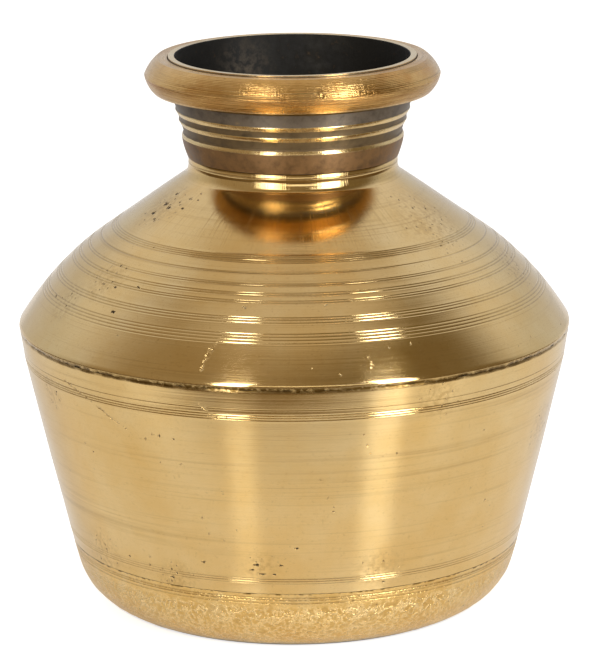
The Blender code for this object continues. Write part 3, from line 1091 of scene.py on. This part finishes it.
def inside_brass(name):
    """The unpolished inside: nearly black and dark brown, with a few grey patches."""
    shader = Shader(name)
    cloud = shader.noise(38.0, 5.0, 0.65)
    grain = shader.noise(300.0, 4.0, 0.6)
    shader.ramp(cloud, (0.32, INSIDE_BLACK), (0.55, INSIDE_BROWN), (0.75, INSIDE_GREY))
    shader.tint(grain, OXIDE_BROWN, 0.62, 0.85, 0.0, 0.3)
    worn = shader.times(shader.near(*WORN_INSIDE), shader.between(grain, 0.42, 0.62), 0.6)
    shader.tint(worn, OXIDE_GREY)
    shader.rough = shader.between(grain, 0.3, 0.7, 0.5, 0.75)
    shader.bump(grain, 0.3, 0.5 * MM)
    return shader.finished(Metallic=shader.between(cloud, 0.4, 0.7, 0.25, 0.5))


def spelter(name, painted_shade):
    """Brazing filler: dull yellow metal with flux stains, and painted shade laid over it in a dark colour,
    by the share given.
    """
    shader = Shader(name)
    cloud = shader.noise(130.0, 4.0, 0.65)
    grain = shader.noise(700.0, 3.0, 0.6)
    shader.ramp(cloud, (0.35, OXIDE_DARK), (0.58, SPELTER), (0.75, SPELTER_PALE))
    # Painted shade: the spelter is darkened by the given share.
    if painted_shade:
        shader.tint(shader.between(grain, 0.3, 0.7, painted_shade, 0.8 * painted_shade), SOOT_AND_SHADE)
    shader.rough = shader.between(grain, 0.3, 0.7, 0.38, 0.60)
    shader.bump(grain, 0.3, 0.3 * MM)
    return shader.finished(Metallic=1.0)


def make_ring():
    """The rim ring: turned bevels with fine lines, and small nicks along the nose."""
    angles = turn_angles(RING_STEPS)
    nose = (RING_NOSE_RADIUS, NOSE_HEIGHT)
    upper = bowed((RING_FLAT_RADIUS, RING_TOP), nose, RING_BOW)
    face = Path(upper, bowed(nose, (RING_EDGE_RADIUS, RING_UNDERSIDE), RING_BOW))
    draw = np.random.default_rng(14)
    shifts = draw.uniform(-RING_LINE_SHIFT, RING_LINE_SHIFT, RING_LINES) * MM
    grooves = []
    for place in np.linspace(*RING_LINE_SPAN, RING_LINES) + shifts:
        half_width = draw.uniform(*RING_LINE_HALF_WIDTHS) * MM
        grooves.append(Groove(place, half_width, draw.uniform(*RING_LINE_DEPTHS) * MM))
    marks = face.marks(RING_ROW, RING_ROW_TURN, grooves)
    lines = np.random.default_rng(12).normal(0, RING_CHATTER, len(marks))
    depth = np.abs(waves(11, marks, angles, RING_UNEVEN, RING_WAVE)) + np.abs(lines)[:, None]
    for groove in grooves:
        depth += groove.cut(marks, angles) * draw.uniform(0.1, 1.3, len(angles))[None, :]
    draw = np.random.default_rng(13)
    for _ in range(RING_NICKS):
        place = draw.uniform(*NICK_PLACES) * face.length
        across = angles_from(draw.uniform(0, TURN), angles) * RING_NOSE_RADIUS
        wide = draw.uniform(*NICK_SIZES)
        off = (marks[:, None] - place) ** 2 + across[None, :] ** 2
        nick = NICK_DEPTH * draw.uniform(0.3, 1) * np.clip(1 - off / wide ** 2, 0, None)
        depth = np.maximum(depth, nick)
    outer = dressed(face, marks, depth)
    bore_radius = LIP_RADIUS + CLEARANCE
    bore = plain([
        (NECK_SEAT_RADIUS + CLEARANCE, RING_UNDERSIDE),
        (bore_radius, RING_TOP - RING_BORE_EDGE),
        (bore_radius + RING_BORE_EDGE, RING_TOP),
    ], angles)
    piece = lathe("rim_ring_turned", [(0, outer), (0, bore)], angles, [ring_brass("rim_brass")])
    stands_for(piece, "rim_ring")


def make_neck():
    """The neck: lip, cone with two ridges, chamfered band, spigot and dark inside."""
    angles = turn_angles(BODY_STEPS)
    share = np.linspace(0, 1, 13)
    fall = (BAND_RADIUS - BAND_FOOT_RADIUS) * share ** BAND_FALL_POWER
    points = np.vstack([
        line((LIP_RADIUS, LIP_TOP), (NECK_SEAT_RADIUS, RING_UNDERSIDE), 4),
        *[ridge_points(NECK_FOOT + ridge) for ridge in RIDGE_HEIGHTS],
        [(NECK_WAIST_RADIUS, WAIST), (BAND_RADIUS - BAND_EDGE[0], BAND_TOP + BAND_EDGE[1])],
        np.column_stack([BAND_RADIUS - fall, BAND_TOP - BAND_HEIGHT * share]),
    ])
    outer = plain(points, angles)
    lumps = waves(21, points[:, 1], angles, NECK_UNEVEN, NECK_WAVE)
    lumps[points[:, 1] > RING_UNDERSIDE - 0.5 * MM] = 0
    outer[:, :, 0] -= np.abs(lumps)
    spigot_bore = SPIGOT_RADIUS - WALL
    lip_bore = LIP_RADIUS - LIP_WALL
    spigot = plain([
        (SPIGOT_RADIUS, NECK_FOOT),
        (SPIGOT_RADIUS, SPIGOT_END),
        (spigot_bore, SPIGOT_END),
    ], angles)
    inside = plain([
        (spigot_bore, NECK_FOOT),
        (NECK_WAIST_RADIUS - LIP_WALL, WAIST),
        (NECK_SEAT_RADIUS - LIP_WALL, RING_UNDERSIDE),
        (lip_bore, LIP_TOP - LIP_ROUNDING),
    ], angles)
    lip = plain([(lip_bore + LIP_ROUNDING, LIP_TOP)], angles)
    blocks = [(0, outer), (1, spigot), (1, inside), (0, lip)]
    piece = lathe("neck_cast", blocks, angles, [neck_brass("neck_brass"), inside_brass("neck_inside")])
    stands_for(piece, "neck_collar")


def collar_stretches():
    """The collar's upright part, the flaring land below it, and the fillet that runs into the cone."""
    head, foot = LAND_TILTS
    hollow = LAND_LENGTH / (foot - head)
    facing_foot = on_arc((0.0, 0.0), 1.0, foot)
    facing_cone = on_arc((0.0, 0.0), 1.0, SHOULDER_TILT)
    top = np.array([COLLAR_RADIUS + CONE_SET[0][1] * MM, COLLAR_TOP])
    foot_radius = top[0] + hollow * (math.cos(head) - math.cos(foot))
    reach = facing_cone @ CROWN_TOP + LAND_FILLET * (1 - facing_cone @ facing_foot)
    land_foot = np.array([foot_radius, (reach - foot_radius * facing_cone[0]) / facing_cone[1]])
    land = arc(land_foot + hollow * facing_foot, -hollow, head, foot)
    fillet = arc(land_foot + LAND_FILLET * facing_foot, -LAND_FILLET, foot, SHOULDER_TILT)
    return line(top, land[0]), land, fillet


def make_shoulder():
    """The shoulder wall: collar, fillet, cone, crown and rounded break, with its turned lines."""
    angles = turn_angles(BODY_STEPS)
    crown = arc(CROWN_CENTRE, CROWN_RADIUS, SHOULDER_TILT, CROWN_FOOT_TILT)
    collar, land, fillet = collar_stretches()
    surface = Path(
        collar,
        land,
        fillet,
        line(fillet[-1], crown[0]),
        crown,
        arc(BREAK_CENTRE, BREAK_ROUNDING, CROWN_FOOT_TILT, BELLY_TILT),
        line(BELLY_TOP, BELLY.at(SKIRT)[:2]),
    )
    grooves = grooves_at(surface.at_radius, SHOULDER_LINES)
    grooves.append(Groove(COLLAR_LINE, COLLAR_LINE_HALF_WIDTH, COLLAR_LINE_DEPTH))
    marks = surface.marks(ROW, ROW_TURN, grooves + [Groove(surface.length, SEAM_ROLL, SEAM_DROP)])
    edge = seam_edge(33, surface.length - marks, angles)
    set_places = [surface.at_radius(radius * MM) for radius, _ in CONE_SET]
    set_depths = [depth * MM for _, depth in CONE_SET]
    depth = sum(groove.cut(marks, angles) for groove in grooves)
    depth += np.abs(waves(31, marks, angles, SHOULDER_UNEVEN, BODY_WAVE))
    depth += softened(marks, set_places, set_depths)[:, None]
    depth += SEAM_DROP * edge ** 2
    # Polish left in the lines, and painted shade on them towards the left and right.
    residue_and_shade = SHOULDER_RESIDUE_AND_SHADE[0] + SHOULDER_RESIDUE_AND_SHADE[1] * np.cos(angles) ** 2
    cut = np.maximum(residue_and_shade * cut_share(grooves, marks, angles), seam_dirt(edge, angles))
    outer = dressed(surface, marks, depth)
    outer[-1, :, 1] -= SEAM_FILL + ragged(32, angles, BREAK_RAGGED)
    inner = plain(surface.under(surface.marks(INSIDE_ROW, INSIDE_TURN)[::-1], WALL), angles)
    marked = (SHOULDER_PITS, SHOULDER_STROKES, SHOULDER_CHIPS)
    look = (SHOULDER_SLOPE, SHOULDER_ROUGHNESS, SHOULDER_SPREAD)
    brass = polished_brass("shoulder_brass", *look, marked, WIPED_TO)
    blocks = [(0, outer), (1, inner)]
    piece = lathe("shoulder_turned", blocks, angles, [brass, inside_brass("shoulder_inside")], cut=(0, cut))
    stands_for(piece, "shoulder_shell")


def make_belly():
    """The belly wall, with its lap behind the shoulder's edge and its turned lines."""
    angles = turn_angles(BODY_STEPS)
    ledge = SKIRT + CLEARANCE
    step_top = ledge + WALL
    step_foot = step_top + JOGGLE
    surface = Path(stretch_of(BELLY, ledge, PAN_SEAM, 200))
    grooves = grooves_at(surface.at_height, BELLY_LINES)
    marks = surface.marks(ROW, ROW_TURN, grooves + [Groove(0.0, SEAM_ROLL, SEAM_DROP)])
    edge = seam_edge(42, marks, angles)
    facet_places = [0, surface.at_height(FACET_FOOT), surface.at_height(FACET_FADE)]
    depth = sum(groove.cut(marks, angles) for groove in grooves)
    depth += SEAM_DROP * edge ** 2
    depth += np.abs(waves(41, marks, angles, BELLY_UNEVEN, BODY_WAVE))
    depth -= np.interp(marks, facet_places, [0, FACET_PROUD, 0])[:, None]
    cut = np.maximum(BELLY_RESIDUE * cut_share(grooves, marks, angles), seam_dirt(edge, angles))
    outer = dressed(surface, marks, depth)
    outer[-1, :, 1] -= SEAM_FILL - np.abs(ragged(43, angles, BELLY_RAGGED))
    inner = plain(BELLY.under(np.linspace(PAN_SEAM, step_foot, 8), WALL), angles)
    turn = arc(LAP_CENTRE, LAP_ROUNDING, BREAK_LAP_TILT, BELLY_TILT)
    lap = Path(turn, stretch_of(BELLY, BELLY.at_height(turn[-1][1]), step_top))
    lap_marks = lap.marks(LAP_ROW, INSIDE_TURN)
    back = plain(lap.under(lap_marks[::-1], LAP_BACK), angles)
    front = plain(lap.under(lap_marks[lap_marks <= lap.length - WALL], LAP_FACE), angles)
    foot = plain(BELLY.under(np.array([ledge]), LAP_FACE), angles)
    marked = (BELLY_PITS, BELLY_STROKES, BELLY_CHIPS)
    look = (BELLY_SLOPE, BELLY_ROUGHNESS, BELLY_SPREAD)
    brass = polished_brass("belly_brass", *look, marked)
    blocks = [(0, outer), (1, inner), (1, back), (1, front), (1, foot)]
    piece = lathe("belly_turned", blocks, angles, [brass, inside_brass("belly_inside")], cut=(0, cut))
    stands_for(piece, "belly_shell")


def make_base():
    """The dished base: peened outside, with its lap behind the belly's lower edge."""
    angles = turn_angles(PEEN_STEPS)
    ledge = PAN_SEAM + CLEARANCE
    lap_top = ledge - PAN_LAP
    step_top = ledge + WALL
    step_foot = step_top + JOGGLE
    heel = heel_points()
    surface = Path(stretch_of(BELLY, ledge, BELLY.length), heel)
    grooves = grooves_at(surface.at_height, PAN_LINES)
    marks = surface.marks(ROW / 2, ROW_TURN, grooves)
    below_lines = np.clip((marks - surface.at_height(DENTS_BELOW)) / DENTS_FADE, DENTS_ABOVE, 1)
    at_foot = np.clip((surface.length - marks) / DENTS_FOOT, 0, 1)
    hammered = dimples(51, marks, angles, HEEL_RADIUS, DENTS, DENT_SIZE, DENT_DEPTH)
    depth = sum(groove.cut(marks, angles) for groove in grooves)
    depth += hammered * (below_lines * at_foot)[:, None]
    cut = PAN_RESIDUE * cut_share(grooves, marks, angles)
    outer = dressed(surface, marks, depth)
    outer[0, :, 1] -= np.abs(ragged(52, angles, BASE_RAGGED))
    heel_path = Path(heel)
    inside = np.vstack([
        heel_path.under(heel_path.marks(HEEL_ROW, HEEL_ROW_TURN)[::-1], WALL),
        BELLY.under(np.array([step_foot]), WALL),
        BELLY.under(np.linspace(step_top, lap_top, 4), LAP_BACK),
    ])
    floor_ring = plain([(FLAT_RING_RADIUS, inside[0][1])], angles)
    lap = plain(BELLY.under(np.linspace(lap_top, ledge, 4), LAP_FACE), angles)
    underside = plain([(FLAT_RING_RADIUS, 0.0)], angles)
    blocks = [(1, floor_ring), (1, plain(inside, angles)), (1, lap), (0, outer), (0, underside)]
    materials = [peened_brass("base_brass"), inside_brass("base_inside")]
    piece = lathe("base_peened", blocks, angles, materials, capped=True, cut=(3, cut))
    stands_for(piece, "base_pan")


def make_bead(node, corners, seed, painted_shade=0.0):
    """A fillet of spelter: three corners, with the free face sagging and swelling along the joint."""
    angles = turn_angles(BEAD_STEPS)
    first, second, third = (np.array(corner) for corner in corners)
    middle = (first + third) / 2
    rows = plain([first, second, third, middle], angles)
    swell = 0.5 + 0.5 * np.clip(ragged(seed, angles, 0.6, 24), -1, 1)
    rows[3] += swell[:, None] * (second - middle) * BRAZE_SAG
    piece = lathe(node + "_bead", [(0, rows)], angles, [spelter(node + "_spelter", painted_shade)])
    stands_for(piece, node)


def make_beads():
    """The four braze fillets, each in the corner that its joint leaves."""
    top = RING_UNDERSIDE - CLEARANCE
    foot = top - BRAZE_LEG
    # The rim's bead gets painted shade, as it lies in the corner under the ring.
    make_bead("rim_braze", (
        (neck_cone(top) + CLEARANCE + BRAZE_LEG, top),
        (neck_cone(top) + CLEARANCE, top),
        (neck_cone(foot) + CLEARANCE, foot),
    ), 61, painted_shade=0.5)

    start_tilt = math.acos((COLLAR_FILLET + WALL) / (COLLAR_FILLET + LAP_FACE))
    upper = on_arc(FILLET_CENTRE, -(COLLAR_FILLET + LAP_FACE), start_tilt)
    lower = on_arc(FILLET_CENTRE, -(COLLAR_FILLET + LAP_FACE), SHOULDER_TILT)
    make_bead("neck_braze", (lower, upper, (SPIGOT_RADIUS + CLEARANCE, lower[1])), 62)

    rounding = BREAK_ROUNDING - LAP_FACE
    seat_tilt = BREAK_LAP_TILT + CLEARANCE / rounding
    end_tilt = CROWN_FOOT_TILT + BRAZE_RUN / CROWN_RADIUS
    make_bead("belly_braze", (
        on_arc(CROWN_CENTRE, CROWN_RADIUS - LAP_FACE, end_tilt),
        on_arc(BREAK_CENTRE, rounding, seat_tilt),
        on_arc(BREAK_CENTRE, rounding - BRAZE_THROAT, seat_tilt),
    ), 63)

    seat = np.array([PAN_SEAM - PAN_LAP])
    make_bead("base_braze", (
        BELLY.under(seat - BRAZE_RUN, LAP_FACE)[0],
        BELLY.under(seat, LAP_FACE)[0],
        BELLY.under(seat, LAP_FACE + BRAZE_THROAT)[0],
    ), 64)


def white_floor():
    """Plain white to the camera. In reflections it is a glossy white sheet that ends in front of the pot."""
    material = bpy.data.materials.new("white_floor")
    material.use_nodes = True
    material.node_tree.nodes.clear()
    nodes = Nodes(material.node_tree)
    path = nodes.node("ShaderNodeLightPath").outputs
    x, y, _ = nodes.split(nodes.node("ShaderNodeTexCoord").outputs["Object"])
    aside = nodes.math("ABSOLUTE", x)
    slanted = nodes.math("MULTIPLY_ADD", x, FRONT_SLANT, y)
    behind_edge = nodes.between(slanted, -FRONT_EDGE - FRONT_BLUR, -FRONT_EDGE + FRONT_BLUR)
    beside = nodes.between(aside, SIDE_EDGE + SIDE_BLUR, SIDE_EDGE - SIDE_BLUR)
    sheet = nodes.times(behind_edge, nodes.largest(beside, nodes.between(y, *BACK_SPREAD)))
    glossy = nodes.node("ShaderNodeBsdfPrincipled")
    nodes.put(glossy.inputs["Base Color"], nodes.mix(sheet, FLOOR_BROWN, FLOOR_WHITE))
    nodes.put(glossy.inputs["Specular IOR Level"], nodes.times(sheet, FLOOR_GLOSS))
    nodes.put(glossy.inputs["Roughness"], FLOOR_ROUGHNESS)
    matt = nodes.fed("ShaderNodeBsdfDiffuse", FLOOR_WHITE)
    seen = path["Is Camera Ray"]
    paint = nodes.fed("ShaderNodeMixShader", seen, glossy.outputs[0], matt.outputs[0])
    lit = nodes.times(sheet, nodes.between(y, *DIM_FRONT, DIM_SHARE, 1.0))
    ahead = nodes.between(y, *CORNER_AHEAD, 0.0, CORNER_GAIN)
    corner = nodes.times(nodes.between(aside, *CORNER_ASIDE), ahead)
    reflected = nodes.times(path["Is Glossy Ray"], nodes.math("MULTIPLY_ADD", corner, sheet, lit))
    lift = nodes.math("MULTIPLY_ADD", reflected, REFLECTED_LIFT, nodes.times(seen, FLOOR_LIFT))
    glow = nodes.node("ShaderNodeEmission")
    nodes.put(glow.inputs["Strength"], lift)
    both = nodes.fed("ShaderNodeAddShader", paint.outputs[0], glow.outputs[0])
    nodes.fed("ShaderNodeOutputMaterial", both.outputs[0])
    return material


def make_floor():
    """A white floor that keeps the pot's shadow."""
    half = FLOOR_HALF
    corners = [(-half, -half, 0), (half, -half, 0), (half, half, 0), (-half, half, 0)]
    mesh = bpy.data.meshes.new("floor")
    mesh.from_pydata(corners, [], [(0, 1, 2, 3)])
    mesh.materials.append(white_floor())
    floor = bpy.data.objects.new("floor", mesh)
    bpy.context.scene.collection.objects.link(floor)


def make_world():
    """A room with a pale back, dim brown on the camera's side and warm overhead."""
    world = bpy.data.worlds.new("studio")
    bpy.context.scene.world = world
    world.use_nodes = True
    world.node_tree.nodes.clear()
    nodes = Nodes(world.node_tree)
    x, y, z = nodes.split(nodes.node("ShaderNodeTexCoord").outputs["Generated"])

    def blend(value, spread, first, second):
        return nodes.mix(nodes.between(value, *spread, form="SMOOTHSTEP"), first, second)

    back = blend(z, HIGH_RISE, ROOM_BACK, ROOM_HIGH)
    left = blend(y, LEFT_TO_BACK, ROOM_LEFT, back)
    right = blend(y, RIGHT_TO_BACK, ROOM_RIGHT, back)
    walls = blend(x, LEFT_TO_RIGHT, left, right)
    room = nodes.fed("ShaderNodeBackground", blend(z, OVERHEAD_RISE, walls, ROOM_OVERHEAD))
    nodes.fed("ShaderNodeOutputWorld", room.outputs[0])


def make_lights():
    for name, angle, distance, width, foot, top, radiance in SOFTBOXES:
        light = bpy.data.lights.new(name, "AREA")
        light.shape = "RECTANGLE"
        light.size = width
        light.size_y = top - foot
        light.energy = radiance * math.pi * width * (top - foot)
        lamp = bpy.data.objects.new(name, light)
        lamp.location = on_wall(angle, distance, (foot + top) / 2)
        facing = Vector((-lamp.location.x, -lamp.location.y, 0.0))
        lamp.rotation_mode = "QUATERNION"
        lamp.rotation_quaternion = facing.to_track_quat("-Z", "Y")
        lamp.visible_camera = False
        bpy.context.scene.collection.objects.link(lamp)


def make_camera():
    camera = bpy.data.cameras.new("camera")
    camera.lens = CAMERA_LENS
    camera.sensor_width = CAMERA_SENSOR
    camera.shift_x = CAMERA_SHIFT
    stand = bpy.data.objects.new("camera", camera)
    stand.matrix_world = (
        Matrix.Translation((0.0, -CAMERA_DISTANCE, LIP_TOP + CAMERA_ABOVE_LIP))
        @ Matrix.Rotation(math.pi / 2 - CAMERA_PITCH, 4, "X")
        @ Matrix.Rotation(CAMERA_ROLL, 4, "Z")
    )
    bpy.context.scene.collection.objects.link(stand)
    bpy.context.scene.camera = stand


make_ring()
make_neck()
make_shoulder()
make_belly()
make_base()
make_beads()
make_floor()
make_world()
make_lights()
make_camera()
bpy.context.scene.view_settings.view_transform = "Standard"
